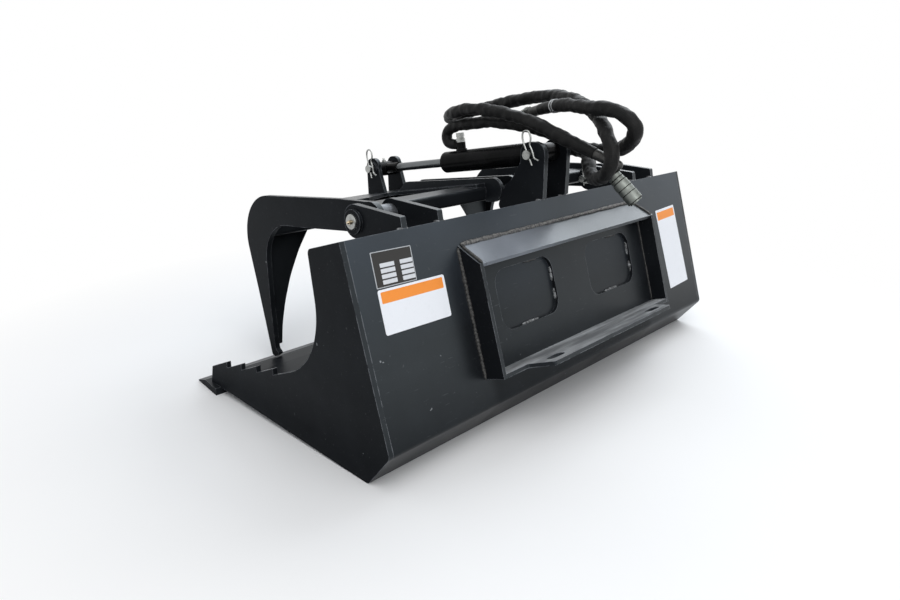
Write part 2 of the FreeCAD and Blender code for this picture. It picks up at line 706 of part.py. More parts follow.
def cylinder_line():
    base = BASE_PIN
    reach = rod_pin_place() - base
    angle = math.atan2(reach.z, reach.y) + math.radians(REST_LOWER)
    angle = math.atan2(math.sin(angle), math.cos(angle))
    length = reach.Length + REST_LONGER
    d = V(0, math.cos(angle), math.sin(angle))
    up = V(0, d.z, -d.y)
    if up.z < 0:
        up = up * -1
    return base, d, up, length


def barrel():
    base, d, up, length = cylinder_line()
    start = base + d * (BASE_LUG_R - 6)
    body = rod(BARREL_R, start, base + d * BARREL_FRONT)
    body = body.cut(rod(BORE_R, base + d * (BASE_LUG_R + CAP_L), base + d * (BARREL_FRONT + 1)))
    lug = Part.makeCylinder(BASE_LUG_R, BASE_LUG_W, V(-BASE_LUG_W / 2, base.y, base.z), V(1, 0, 0))
    for port in (rod_port_hole(), base_port_hole()):
        body = body.cut(port)
    return body.cut(lug)


def base_lug():
    base = BASE_PIN
    lug = Part.makeCylinder(BASE_LUG_R, BASE_LUG_W, V(-BASE_LUG_W / 2, base.y, base.z), V(1, 0, 0))
    hole = Part.makeCylinder(SMALL_PIN_R + RUNNING, BASE_LUG_W + 2, V(-BASE_LUG_W / 2 - 1, base.y, base.z), V(1, 0, 0))
    return lug.cut(hole)


def gland():
    base, d, up, length = cylinder_line()
    body = rod(BORE_R, base + d * (BARREL_FRONT - GLAND_L), base + d * BARREL_FRONT)
    collar = rod(BARREL_R, base + d * BARREL_FRONT, base + d * (BARREL_FRONT + GLAND_PROUD))
    body = body.fuse(collar).removeSplitter()
    hole = rod(ROD_R + RUNNING, base + d * (BARREL_FRONT - GLAND_L - 1), base + d * (BARREL_FRONT + GLAND_PROUD + 1))
    return body.cut(hole)


def rod_port_hole():
    base, d, up, length = cylinder_line()
    at = base + d * PORT_AT
    return rod(PORT_HOLE_R, at, at + up * (BARREL_R + 2))


def base_port_hole():
    base, d, up, length = cylinder_line()
    at = base + d * BASE_PORT_AT
    return rod(PORT_HOLE_R, at, at + V(-BARREL_R - 2, 0, 0))


def saddle(at, outward, height):
    """Round port boss welded on the barrel."""
    base, d, up, length = cylinder_line()
    boss = rod(PORT_R, at + outward * (BARREL_R - 8), at + outward * (BARREL_R + height))
    boss = boss.cut(rod(BARREL_R, base, base + d * BARREL_FRONT))
    return boss.cut(rod(PORT_HOLE_R, at, at + outward * (BARREL_R + height + 1)))


def rod_port():
    base, d, up, length = cylinder_line()
    return saddle(base + d * PORT_AT, up, PORT_H)


def base_port():
    base, d, up, length = cylinder_line()
    return saddle(base + d * BASE_PORT_AT, V(-1, 0, 0), PORT_H)


def hexagon(centre, axis, across_flats, height):
    """Hexagonal nut body."""
    a = V(axis).normalize()
    side = V(1, 0, 0) if abs(a.x) < 0.9 else V(0, 1, 0)
    u = a.cross(side).normalize()
    w = a.cross(u)
    r = across_flats / math.sqrt(3)
    corners = [centre + u * (r * math.cos(t)) + w * (r * math.sin(t)) for t in (k * math.pi / 3 for k in range(6))]
    wire = Part.makePolygon(corners + [corners[0]])
    return Part.Face(wire).extrude(a * height)


def elbow(port, outward, mouth, route_next):
    """Forged elbow: a nut on the port, a round bend, and a nut where the hose starts."""
    aim = (mouth - route_next).normalize()
    knee_in = outward * (outward.dot(mouth - port))
    knee = port + knee_in
    body = bent([port, knee, mouth + aim * NUT_GRIP], ELBOW_R)
    nut = hexagon(port, outward, 22, 9)
    end = hexagon(mouth + aim * 12, aim * -1, 24, 12)
    return body.fuse(nut).fuse(end).removeSplitter().cut(base_port())


def rod_elbow():
    """Short forged tee on the rod-end port: one arm to the hose, the top closed by a plug."""
    base, d, up, length = cylinder_line()
    port = base + d * PORT_AT + up * (BARREL_R + PORT_H)
    mouth = V(*ROD_ROUTE[0])
    aim = (mouth - V(*ROD_ROUTE[1])).normalize()
    body = rod(TEE_R, port, port + up * TEE_H)
    body = body.fuse(rod(TEE_R - 1, port + up * up.dot(mouth - port), mouth + aim * NUT_GRIP))
    body = body.fuse(hexagon(mouth + aim * 9, aim * -1, 22, 9)).removeSplitter()
    return body.cut(rod_port()).cut(rod_plug())


def rod_plug():
    """Bright hexagon plug with a round shoulder, upright on the tee."""
    base, d, up, length = cylinder_line()
    foot = base + d * PORT_AT + up * (BARREL_R + PORT_H + TEE_H)
    plug = hexagon(foot, up, 19, 9).fuse(rod(8.2, foot, foot + up * 13)).fuse(hexagon(foot + up * 12, up, 17, 9))
    return plug.removeSplitter()


def base_elbow():
    base, d, up, length = cylinder_line()
    port = base + d * BASE_PORT_AT - V(BARREL_R + PORT_H, 0, 0)
    return elbow(port, V(-1, 0, 0), V(*BASE_ROUTE[0]), V(*BASE_ROUTE[1]))


def hose_end(points):
    end = V(*points[-1])
    aim = (end - V(*points[-2])).normalize()
    return end, aim


def crimp(points):
    """Crimped sleeve on a hose end with its swivel nut, down to the coupler."""
    end, aim = hose_end(points)
    body = rod(CRIMP_R, end, end + aim * CRIMP_L)
    return body.fuse(hexagon(end + aim * CRIMP_L, aim, 22, NUT_L)).removeSplitter()


def coupler():
    """Flat-face quick coupler: three rings of slightly different sizes, on a turned-down swivel elbow."""
    aim = V(*COUPLER_AIM).normalize()
    at = COUPLER_START
    start = 0
    rings = []
    for end, under in COUPLER_RINGS:
        rings.append(rod(COUPLER_R - under, at + aim * start, at + aim * end))
        start = end
    body = rings[0].multiFuse(rings[1:])
    socket = rod(TAIL_R + RUNNING, at + aim * (COUPLER_L - SOCKET_DEEP), at + aim * (COUPLER_L + 1))
    return body.removeSplitter().cut(socket)


def coupler_elbow():
    """Short bent adapter between the crimp's nut and the coupler."""
    end, aim = hose_end(BASE_ROUTE)
    start = end + aim * (CRIMP_L + NUT_L)
    finish = COUPLER_START
    knee = finish - V(*COUPLER_AIM).normalize() * ELBOW_LEG
    return bent([start, start + aim * ELBOW_LEG, knee, finish], ELBOW_R).cut(crimp(BASE_ROUTE))


def male_tip():
    """Male tip on the other hose's end: a hexagon and a stepped nose."""
    end, aim = hose_end(ROD_ROUTE)
    at = end + aim * (CRIMP_L + NUT_L)
    tip = hexagon(at, aim, 24, 9)
    tip = tip.fuse(rod(TAIL_R, at + aim * 8, at + aim * TAIL_L)).fuse(rod(TAIL_R + 1.6, at + aim * 13, at + aim * 18))
    return tip.removeSplitter()


def piston():
    base, d, up, length = cylinder_line()
    front = BARREL_FRONT - GLAND_L - 4
    disc = rod(BORE_R - RUNNING, base + d * (front - PISTON_L), base + d * front)
    return disc.cut(rod(ROD_R, base + d * (front - PISTON_L - 1), base + d * (front + 1)))


def piston_rod():
    base, d, up, length = cylinder_line()
    start = BARREL_FRONT - GLAND_L - 4 - PISTON_L
    return rod(ROD_R, base + d * start, base + d * (length - NECK_L + ROD_IN_NECK))


def rod_eye():
    base, d, up, length = cylinder_line()
    eye = base + d * length
    hub = Part.makeCylinder(EYE_R, EYE_W, V(-EYE_W / 2, eye.y, eye.z), V(1, 0, 0))
    socket = rod(NECK_R, base + d * (length - NECK_L), eye)
    hole = Part.makeCylinder(SMALL_PIN_R + EYE_LOST, EYE_W + 2, V(-EYE_W / 2 - 1, eye.y, eye.z), V(1, 0, 0))
    return hub.fuse(socket).cut(hole).cut(rod(ROD_R, base, base + d * (length - NECK_L + ROD_IN_NECK)))


def rod_eye_nipple():
    base, d, up, length = cylinder_line()
    eye = base + d * length
    return nipple(eye + up * (EYE_R - 0.4), up).cut(rod_eye())


def both(make):
    return Part.makeCompound([make(), make().mirror(V(0, 0, 0), V(1, 0, 0))])


def build():
    nodes = {}
    nodes["bucket_shell"] = bucket_shell()
    nodes["cutting_edge"] = cutting_edge()
    nodes["mount_panel"] = mount_panel()
    nodes["mount_hook"] = mount_hook()
    nodes["mount_ledge"] = mount_ledge()
    for side in ("left", "right"):
        nodes["side_plate_" + side] = pair(side_plate, side)
        nodes["mount_side_" + side] = pair(mount_side, side)
        nodes["pivot_ear_outer_" + side] = pair(lambda: pivot_ear(EAR_OUTER_X), side)
        nodes["pivot_ear_inner_" + side] = pair(lambda: pivot_ear(EAR_INNER_X), side)
        nodes["pivot_boss_" + side] = pair(pivot_boss, side)
        nodes["pivot_pin_" + side] = pair(lambda: pivot_pin(PIVOT_CLIP_TURN[side]), side)
        nodes["base_bracket_" + side] = pair(base_bracket, side)
        nodes["tine_" + side] = pair(tine, side)
        nodes["tine_web_" + side] = pair(tine_web, side)
        nodes["pivot_tube_" + side] = pair(pivot_tube, side)
        nodes["centre_rib_" + side] = pair(centre_rib, side)
        nodes["clevis_ear_" + side] = pair(clevis_ear, side)
    nodes["pivot_nipples"] = both(lambda: nipple(V(pin_outer(), PIVOT.y, PIVOT.z), V(1, 0, 0), 0.8))
    clip_x = EAR_INNER_X - PIN_TAIL + 10
    clips = []
    for side, turn in PIVOT_CLIP_TURN.items():
        clips.append(pair(lambda: hairpin(clip_x, PIVOT, TAIL_TURNED_R, turn, PIVOT_CLIP_LOOP), side))
    nodes["pivot_clips"] = Part.makeCompound(clips)
    nodes["front_tube"] = front_tube()
    nodes["cross_tube"] = cross_tube()
    nodes["top_plate"] = top_plate()
    nodes["base_pin"], x = small_pin(BASE_PIN, BRACKET_X + BRACKET_T, BASE_CLIP_TURN)
    nodes["base_pin_clip"] = hairpin(x, BASE_PIN, SMALL_PIN_R, BASE_CLIP_TURN, CLIP_LOOP)
    nodes["rod_pin"], x = small_pin(rod_pin_place(), LUG_X + LUG_T + LUG_BOSS_T, ROD_CLIP_TURN)
    nodes["rod_pin_clip"] = hairpin(x, rod_pin_place(), SMALL_PIN_R, ROD_CLIP_TURN, CLIP_LOOP)
    nodes["cylinder_barrel"] = barrel()
    nodes["base_lug"] = base_lug()
    nodes["cylinder_gland"] = gland()
    nodes["rod_port"] = rod_port()
    nodes["base_port"] = base_port()
    nodes["rod_elbow"] = rod_elbow()
    nodes["rod_plug"] = rod_plug()
    nodes["base_elbow"] = base_elbow()
    for name, points in (("rod_hose", ROD_ROUTE), ("base_hose", BASE_ROUTE)):
        solid, tightest, length = tube(points, SLEEVE_R)
        nodes[name] = solid
        print(name, "length", round(length), "tightest bend", round(tightest, 1))
        print(name, "volume share", round(solid.Volume / (math.pi * SLEEVE_R ** 2 * length), 4))
    nodes["rod_hose_crimp"] = crimp(ROD_ROUTE)
    nodes["base_hose_crimp"] = crimp(BASE_ROUTE)
    nodes["coupler_elbow"] = coupler_elbow()
    nodes["coupler"] = coupler()
    nodes["male_tip"] = male_tip()
    nodes["piston"] = piston()
    nodes["piston_rod"] = piston_rod()
    nodes["rod_eye"] = rod_eye()
    nodes["rod_eye_nipple"] = rod_eye_nipple()
    return nodes


CORDS = ("rod_hose", "base_hose", "rod_hose_crimp", "base_hose_crimp", "coupler_elbow", "coupler", "male_tip")


def main():
    os.makedirs("parts", exist_ok=True)
    nodes = build()
    solid_parts = [s for name, s in nodes.items() if name not in CORDS]
    low = min(s.BoundBox.YMin for s in solid_parts)
    high = max(s.BoundBox.YMax for s in solid_parts)
    shift = V(0, -(low + high) / 2, 0)
    print("plan shift", round(shift.y, 3), "y", round(low, 2), round(high, 2))
    print("pivot", round(PIVOT.y + shift.y, 3), round(PIVOT.z, 3))
    base, d, up, length = cylinder_line()
    face = COUPLER_START + V(*COUPLER_AIM).normalize() * COUPLER_L + shift
    print("coupler face", face, "axis", V(*COUPLER_AIM).normalize())
    end, aim = hose_end(ROD_ROUTE)
    print("male tip end", end + aim * (CRIMP_L + NUT_L + TAIL_L) + shift, "axis", aim)
    print("base pin", round(base.y + shift.y, 3), round(base.z, 3), "direction", d, "length", round(length, 2))
    for name, shape in nodes.items():
        shape = single(shape)
        if not shape.isValid() or shape.Volume <= 0:
            print("CHECK", name, shape.isValid(), shape.Volume)
        shape.translate(shift)
        print(name, len(shape.Solids), round(shape.Volume / 1000, 1))
        shape.exportStep("parts/" + name + ".step")


main()
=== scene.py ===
"""Looks of a grapple bucket: paint, hoses, welds, blank plates, camera and light, in metres."""

import json
import math

import bmesh
import bpy
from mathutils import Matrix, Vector, noise


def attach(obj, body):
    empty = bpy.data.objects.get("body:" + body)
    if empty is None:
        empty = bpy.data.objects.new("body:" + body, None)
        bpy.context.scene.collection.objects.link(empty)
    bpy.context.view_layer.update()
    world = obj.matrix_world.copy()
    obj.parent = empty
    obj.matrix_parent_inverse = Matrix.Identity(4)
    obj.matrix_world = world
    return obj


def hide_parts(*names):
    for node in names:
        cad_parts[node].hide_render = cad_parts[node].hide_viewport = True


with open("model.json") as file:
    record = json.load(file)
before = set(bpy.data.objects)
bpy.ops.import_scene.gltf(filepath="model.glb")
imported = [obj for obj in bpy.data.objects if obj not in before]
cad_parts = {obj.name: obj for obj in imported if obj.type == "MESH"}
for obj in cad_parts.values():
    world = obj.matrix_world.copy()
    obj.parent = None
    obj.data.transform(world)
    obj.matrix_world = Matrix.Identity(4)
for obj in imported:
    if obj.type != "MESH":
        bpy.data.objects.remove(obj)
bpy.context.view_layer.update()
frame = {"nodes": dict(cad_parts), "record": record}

scene = bpy.context.scene
MM = 0.001

# Places of the bucket's back, from the heel, and of the heel in the part's frame
HEEL_Y = 0.241811
LEAN = math.radians(17)
UP = Vector((0, -math.sin(LEAN), math.cos(LEAN)))
OUT = Vector((0, math.cos(LEAN), math.sin(LEAN)))
RIGHT = Vector((1, 0, 0))
FOOT = Vector((0, 0.0571 + HEEL_Y, 0.0705))
BACK_LENGTH = 0.35375


def on_back(x, s, o=0.0):
    """Point x across, s up the back from the top of the heel bevel and o off its outer face."""
    return FOOT + RIGHT * x + UP * s + OUT * o


def heel(x, y, z):
    """Point from millimetres counted from the heel."""
    return Vector((x * MM, y * MM + HEEL_Y, z * MM))


# Camera

CAMERA_AT = Vector((1.174981, 0.782655 + HEEL_Y, 0.653162))
CAMERA_FOCAL_PX = 680.0
CAMERA_YAW = math.radians(-136.137)
CAMERA_PITCH = math.radians(-18.358)
IMAGE_W = 900.0


def make_camera():
    data = bpy.data.cameras.new("camera")
    data.sensor_fit = "HORIZONTAL"
    data.sensor_width = 36.0
    data.lens = CAMERA_FOCAL_PX / IMAGE_W * data.sensor_width
    data.clip_start = 0.01
    camera = bpy.data.objects.new("camera", data)
    scene.collection.objects.link(camera)
    aim = Vector((
        math.cos(CAMERA_YAW) * math.cos(CAMERA_PITCH),
        math.sin(CAMERA_YAW) * math.cos(CAMERA_PITCH),
        math.sin(CAMERA_PITCH),
    ))
    camera.rotation_euler = aim.to_track_quat("-Z", "Y").to_euler()
    camera.location = CAMERA_AT
    scene.camera = camera


# Node helpers

class Nodes:
    """A material's node tree, with short ways to add and join nodes."""

    def __init__(self, name):
        self.material = bpy.data.materials.new(name)
        self.material.use_nodes = True
        self.tree = self.material.node_tree
        self.shader = self.tree.nodes["Principled BSDF"]
        self.coordinates = self.add("ShaderNodeTexCoord")

    def add(self, kind, **values):
        node = self.tree.nodes.new(kind)
        for key, value in values.items():
            setattr(node, key, value)
        return node

    def join(self, out, into):
        self.tree.links.new(out, into)

    def noise(self, scale, detail=4.0, rough=0.55, vector=None, stretch=None):
        node = self.add("ShaderNodeTexNoise")
        node.inputs["Scale"].default_value = scale
        node.inputs["Detail"].default_value = detail
        node.inputs["Roughness"].default_value = rough
        source = vector or self.coordinates.outputs["Object"]
        if stretch:
            mapping = self.add("ShaderNodeMapping")
            mapping.inputs["Scale"].default_value = stretch
            self.join(source, mapping.inputs["Vector"])
            source = mapping.outputs["Vector"]
        self.join(source, node.inputs["Vector"])
        return node.outputs["Fac"]

    def span(self, value, low, high, to_low=0.0, to_high=1.0):
        node = self.add("ShaderNodeMapRange")
        node.inputs["From Min"].default_value = low
        node.inputs["From Max"].default_value = high
        node.inputs["To Min"].default_value = to_low
        node.inputs["To Max"].default_value = to_high
        self.join(value, node.inputs["Value"])
        return node.outputs["Result"]

    def math(self, operation, a, b=None):
        node = self.add("ShaderNodeMath", operation=operation)
        for index, value in enumerate((a, b)):
            if value is None:
                continue
            if isinstance(value, (int, float)):
                node.inputs[index].default_value = value
            else:
                self.join(value, node.inputs[index])
        return node.outputs[0]

    def mix(self, factor, a, b):
        node = self.add("ShaderNodeMix", data_type="RGBA")
        self.join(factor, node.inputs["Factor"])
        for socket, value in ((node.inputs[6], a), (node.inputs[7], b)):
            if isinstance(value, tuple):
                socket.default_value = value + (1.0,)
            else:
                self.join(value, socket)
        return node.outputs[2]

    def edges(self, radius):
        """Mask of outer edges, from how far a rounded normal leaves the true one."""
        bevel = self.add("ShaderNodeBevel", samples=6)
        bevel.inputs["Radius"].default_value = radius
        geometry = self.add("ShaderNodeNewGeometry")
        dot = self.add("ShaderNodeVectorMath", operation="DOT_PRODUCT")
        self.join(bevel.outputs["Normal"], dot.inputs[0])
        self.join(geometry.outputs["Normal"], dot.inputs[1])
        return self.math("SUBTRACT", 1.0, dot.outputs["Value"])

    def bump(self, height, distance, strength=1.0, before=None):
        node = self.add("ShaderNodeBump")
        node.inputs["Distance"].default_value = distance
        node.inputs["Strength"].default_value = strength
        self.join(height, node.inputs["Height"])
        if before:
            self.join(before, node.inputs["Normal"])
        return node.outputs["Normal"]


# Materials

def black_paint(
    name, shine, side_shine, base, pale, rough=(0.28, 0.42), painted_top_reflection=0.0, rubs_and_painted_light=0.0, low=None, painted_left_reflection=0.0,
):
    """Satin black enamel: orange peel, faint dust and rubs, scratches, and paler edges that are partly
    bare metal and partly a painted edge highlight.

    shine is for most faces and side_shine for those that look sideways. base scales the black and pale
    the paler edges. painted_top_reflection is a bluish painted sky reflection near the top,
    painted_left_reflection a paler bluish painted reflection that fades towards the bucket's right, and
    rubs_and_painted_light the paler streaks on faces that look up the back: bare steel from rubbing, and
    also painted light that lifts them out of the hook's shadow. Below the height low the shine is turned
    down, and then behind the frame's windows too, as painted shade.
    """
    n = Nodes(name)
    place = n.add("ShaderNodeSeparateXYZ")
    n.join(n.coordinates.outputs["Object"], place.inputs["Vector"])
    facing = n.add("ShaderNodeSeparateXYZ")
    n.join(n.coordinates.outputs["Normal"], facing.inputs["Vector"])
    sideways = n.span(n.math("ABSOLUTE", facing.outputs["X"]), 0.6, 0.9)
    clouds = n.noise(5.0, 5.0, 0.6)
    dust = n.span(clouds, 0.42, 0.72)
    dark = tuple(c * base for c in (0.0120, 0.0135, 0.0158))
    dusty = tuple(c * base for c in (0.0200, 0.0225, 0.0260))
    colour = n.mix(dust, dark, dusty)
    # Bluish, paler paint towards the top: a painted sky reflection.
    if painted_top_reflection:
        high = n.span(place.outputs["Z"], 0.22, 0.41)
        cover = n.math("MULTIPLY", high, n.span(n.noise(3.0, 4.0, 0.6), 0.3, 0.7, 0.6, 1.0))
        colour = n.mix(n.math("MULTIPLY", cover, painted_top_reflection), colour, (0.080, 0.10, 0.130))
    # Paler bluish paint that fades towards the bucket's right: a painted sky reflection on the hook.
    if painted_left_reflection:
        left = n.span(place.outputs["X"], -0.02, 0.18)
        cover = n.math("MULTIPLY", left, n.span(n.noise(6.0, 4.0, 0.6), 0.3, 0.7, 0.7, 1.0))
        colour = n.mix(n.math("MULTIPLY", cover, painted_left_reflection), colour, (0.30, 0.325, 0.37))
    # Paler streaks on faces that look up the back: bare steel from rubbing, and also painted light that
    # lifts them out of the hook's shadow.
    if rubs_and_painted_light:
        streaks = n.noise(9.0, 5.0, 0.7, stretch=(0.35, 2.6, 2.6))
        level_face = n.add("ShaderNodeVectorMath", operation="DOT_PRODUCT")
        n.join(n.coordinates.outputs["Normal"], level_face.inputs[0])
        level_face.inputs[1].default_value = tuple(UP)
        top = n.span(level_face.outputs["Value"], 0.80, 0.97)
        cover = n.math("MULTIPLY", top, n.span(streaks, 0.40, 0.60, 0.3 * rubs_and_painted_light, rubs_and_painted_light))
        colour = n.mix(cover, colour, (0.55, 0.565, 0.58))
    specks = n.span(n.noise(140.0, 2.0, 0.5), 0.71, 0.78)
    colour = n.mix(n.math("MULTIPLY", specks, 0.45), colour, (0.08, 0.08, 0.085))
    scratch = n.noise(22.0, 3.0, 0.7, stretch=(1.0, 9.0, 14.0))
    lines = n.span(scratch, 0.665, 0.70)
    colour = n.mix(n.math("MULTIPLY", lines, 0.35), colour, (0.08, 0.082, 0.088))
    chip = n.span(n.noise(31.0, 3.0, 0.75), 0.735, 0.75)
    colour = n.mix(chip, colour, (0.20, 0.21, 0.22))
    # Paler edges: partly bare metal, partly a painted edge highlight.
    patchy = n.span(n.noise(38.0, 5.0, 0.75), 0.42, 0.66, 0.1, 1.5)
    edge_wear_and_highlight = n.span(n.math("MULTIPLY", n.edges(0.0022), patchy), 0.03, 0.14)
    colour = n.mix(n.math("MULTIPLY", edge_wear_and_highlight, pale), colour, (0.26, 0.275, 0.30))
    n.join(colour, n.shader.inputs["Base Color"])
    n.join(n.span(clouds, 0.3, 0.75, *rough), n.shader.inputs["Roughness"])
    level = n.span(sideways, 0.0, 1.0, shine, side_shine)
    # Shine turned down towards the bottom, and again behind the frame's windows: painted shade.
    if low:
        level = n.math("MULTIPLY", level, n.span(place.outputs["Z"], low * 0.35, low, 0.3, 1.0))
        middle = n.span(n.math("ABSOLUTE", place.outputs["X"]), 0.28, 0.30, 1.0, 0.0)
        behind = n.math("MULTIPLY", middle, n.span(place.outputs["Z"], 0.32, 0.34, 1.0, 0.0))
        level = n.math("MULTIPLY", level, n.span(behind, 0.0, 1.0, 1.0, 0.55))
    n.join(level, n.shader.inputs["Specular IOR Level"])
    n.shader.inputs["Specular Tint"].default_value = (0.80, 0.93, 1.0, 1.0)
    peel = n.bump(n.noise(420.0, 2.0, 0.5), 0.00006)
    wave = n.bump(n.noise(9.0, 2.0, 0.5), 0.0012, 0.5, peel)
    n.join(wave, n.shader.inputs["Normal"])
    return n.material


def cylinder_paint():
    """Semi-gloss black on turned and welded steel."""
    n = Nodes("cylinder_paint")
    clouds = n.noise(18.0, 4.0, 0.6)
    colour = n.mix(n.span(clouds, 0.4, 0.7), (0.0035, 0.0036, 0.0038), (0.008, 0.008, 0.0085))
    # Paler edges: partly bare metal, partly a painted edge highlight.
    edge = n.span(n.edges(0.0012), 0.04, 0.2)
    colour = n.mix(n.math("MULTIPLY", edge, 0.4), colour, (0.09, 0.09, 0.092))
    n.join(colour, n.shader.inputs["Base Color"])
    n.join(n.span(clouds, 0.3, 0.7, 0.18, 0.30), n.shader.inputs["Roughness"])
    n.shader.inputs["Specular IOR Level"].default_value = 0.055
    n.join(n.bump(n.noise(260.0, 2.0, 0.5), 0.00008), n.shader.inputs["Normal"])
    return n.material


def metal(name, colour, rough, scale, grime=(0.05, 0.05, 0.05), dirt=0.3):
    """Bare or plated metal with a grain, dulled patches and dark grime."""
    n = Nodes(name)
    patches = n.noise(scale, 4.0, 0.6)
    mask = n.span(patches, 0.5, 0.75)
    n.join(n.mix(n.math("MULTIPLY", mask, dirt), colour, grime), n.shader.inputs["Base Color"])
    n.shader.inputs["Metallic"].default_value = 1.0
    n.join(n.span(patches, 0.3, 0.75, rough * 0.75, rough * 1.4), n.shader.inputs["Roughness"])
    n.join(n.bump(n.noise(scale * 9.0, 3.0, 0.6), 0.00005), n.shader.inputs["Normal"])
    return n.material


# Radians of weave per metre of sleeve
STRANDS = 1100.0


def hose_sleeve():
    """Woven nylon: two crossing families of strands in the tube's own coordinates, with sheen and dust."""
    n = Nodes("hose_sleeve")
    uv = n.add("ShaderNodeUVMap")
    separate = n.add("ShaderNodeSeparateXYZ")
    n.join(uv.outputs["UV"], separate.inputs["Vector"])
    around = separate.outputs["X"]
    along = separate.outputs["Y"]
    first = n.math("SINE", n.math("MULTIPLY", n.math("ADD", along, around), STRANDS))
    second = n.math("SINE", n.math("MULTIPLY", n.math("SUBTRACT", along, around), STRANDS))
    weave = n.math("MULTIPLY", first, second)
    dust = n.span(n.noise(26.0, 5.0, 0.65), 0.50, 0.78)
    colour = n.mix(dust, (0.0035, 0.0037, 0.0038), (0.014, 0.0138, 0.0132))
    colour = n.mix(n.span(weave, -1.0, 1.0, 0.0, 0.28), colour, (0.018, 0.018, 0.0185))
    n.join(colour, n.shader.inputs["Base Color"])
    n.join(n.span(dust, 0.0, 1.0, 0.50, 0.66), n.shader.inputs["Roughness"])
    n.shader.inputs["Specular IOR Level"].default_value = 0.14
    n.shader.inputs["Sheen Weight"].default_value = 0.05
    n.shader.inputs["Sheen Roughness"].default_value = 0.4
    creases = n.bump(n.noise(90.0, 4.0, 0.6), 0.0016, 0.7)
    n.join(n.bump(weave, 0.00015, 0.6, creases), n.shader.inputs["Normal"])
    return n.material


def weld_metal(name, valley, crest):
    """Weld bead under thin paint: dark and rough, with bare burnt crests."""
    n = Nodes(name)
    grain = n.noise(170.0, 5.0, 0.7)
    n.join(n.mix(n.span(grain, 0.42, 0.62), valley, crest), n.shader.inputs["Base Color"])
    n.shader.inputs["Roughness"].default_value = 0.5
    n.join(n.bump(grain, 0.0006), n.shader.inputs["Normal"])
    return n.material


def vinyl(name, colour, rough=0.35, dirt=0.25):
    """Printed vinyl sheet with grubby specks."""
    n = Nodes(name)
    specks = n.span(n.noise(90.0, 5.0, 0.7), 0.55, 0.8)
    grubby = tuple(c * 0.72 for c in colour)
    n.join(n.mix(n.math("MULTIPLY", specks, dirt), colour, grubby), n.shader.inputs["Base Color"])
    n.shader.inputs["Roughness"].default_value = rough
    n.join(n.bump(n.noise(60.0, 2.0, 0.5), 0.0001), n.shader.inputs["Normal"])
    return n.material


# Shapes

def link(name, mesh, body, material, smooth=True):
    """Object of a mesh with one material or several, on its body and slot."""
    obj = bpy.data.objects.new(name, mesh)
    scene.collection.objects.link(obj)
    for one in material if isinstance(material, list) else [material]:
        mesh.materials.append(one)
    for face in mesh.polygons:
        face.use_smooth = smooth
    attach(obj, body)
    return obj


def frames_along(points):
    """A steady cross direction at each point of a line."""
    tangents = []
    for i in range(len(points)):
        a = points[max(i - 1, 0)]
        b = points[min(i + 1, len(points) - 1)]
        tangents.append((b - a).normalized())
    start = Vector((0, 0, 1)) if abs(tangents[0].z) < 0.9 else Vector((1, 0, 0))
    side = tangents[0].cross(start).normalized()
    sides = []
    for tangent in tangents:
        side = (side - tangent * side.dot(tangent)).normalized()
        sides.append(side.copy())
    return tangents, sides


def tube_mesh(name, points, radius_at, ring=24):
    """Closed tube whose radius is radius_at(distance, angle), with its own lengthwise coordinates."""
    tangents, sides = frames_along(points)
    verts = []
    distance = 0.0
    marks = []
    for i, p in enumerate(points):
        if i:
            distance += (p - points[i - 1]).length
        marks.append(distance)
        across = tangents[i].cross(sides[i])
        for k in range(ring):
            angle = 2 * math.pi * k / ring
            r = radius_at(distance, angle)
            verts.append(p + sides[i] * (r * math.cos(angle)) + across * (r * math.sin(angle)))
    faces = []
    for i in range(len(points) - 1):
        for k in range(ring):
            a = i * ring + k
            b = i * ring + (k + 1) % ring
            faces.append((a, b, b + ring, a + ring))
    faces.append(tuple(reversed(range(ring))))
    faces.append(tuple(range(len(verts) - ring, len(verts))))
    mesh = bpy.data.meshes.new(name)
    mesh.from_pydata([tuple(v) for v in verts], [], faces)
    uv = mesh.uv_layers.new(name="UVMap")
    girth = 2 * math.pi * radius_at(0.0, 0.0)
    for face in mesh.polygons[:-2]:
        i, k = divmod(face.index, ring)
        corners = ((k, i), (k + 1, i), (k + 1, i + 1), (k, i + 1))
        for loop, (column, row) in zip(face.loop_indices, corners):
            uv.data[loop].uv = (column / ring * girth, marks[row])
    mesh.update()
    return mesh


def route_points(name, points):
    """The smooth line of a NURBS spline through a hose's control points."""
    curve = bpy.data.curves.new(name + "_route", "CURVE")
    curve.dimensions = "3D"
    curve.resolution_u = 24
    spline = curve.splines.new("NURBS")
    spline.points.add(len(points) - 1)
    for target, p in zip(spline.points, points):
        target.co = (p.x, p.y, p.z, 1.0)
    spline.order_u = 3
    spline.use_endpoint_u = True
    holder = bpy.data.objects.new(name + "_route", curve)
    scene.collection.objects.link(holder)
    bpy.context.view_layer.update()
    mesh = bpy.data.meshes.new_from_object(holder)
    line = [v.co.copy() for v in mesh.vertices]
    bpy.data.objects.remove(holder)
    bpy.data.curves.remove(curve)
    bpy.data.meshes.remove(mesh)
    return line


def resample(points, step):
    """The same line with points a set distance apart."""
    lengths = [0.0]
    for a, b in zip(points, points[1:]):
        lengths.append(lengths[-1] + (b - a).length)
    total = lengths[-1]
    count = round(total / step)
    out = []
    j = 0
    for i in range(count + 1):
        want = total * i / count
        while j < len(points) - 2 and lengths[j + 1] < want:
            j += 1
        part = (want - lengths[j]) / max(lengths[j + 1] - lengths[j], 1e-9)
        out.append(points[j].lerp(points[j + 1], min(max(part, 0.0), 1.0)))
    return out, total


# Hoses, with points in millimetres from the heel

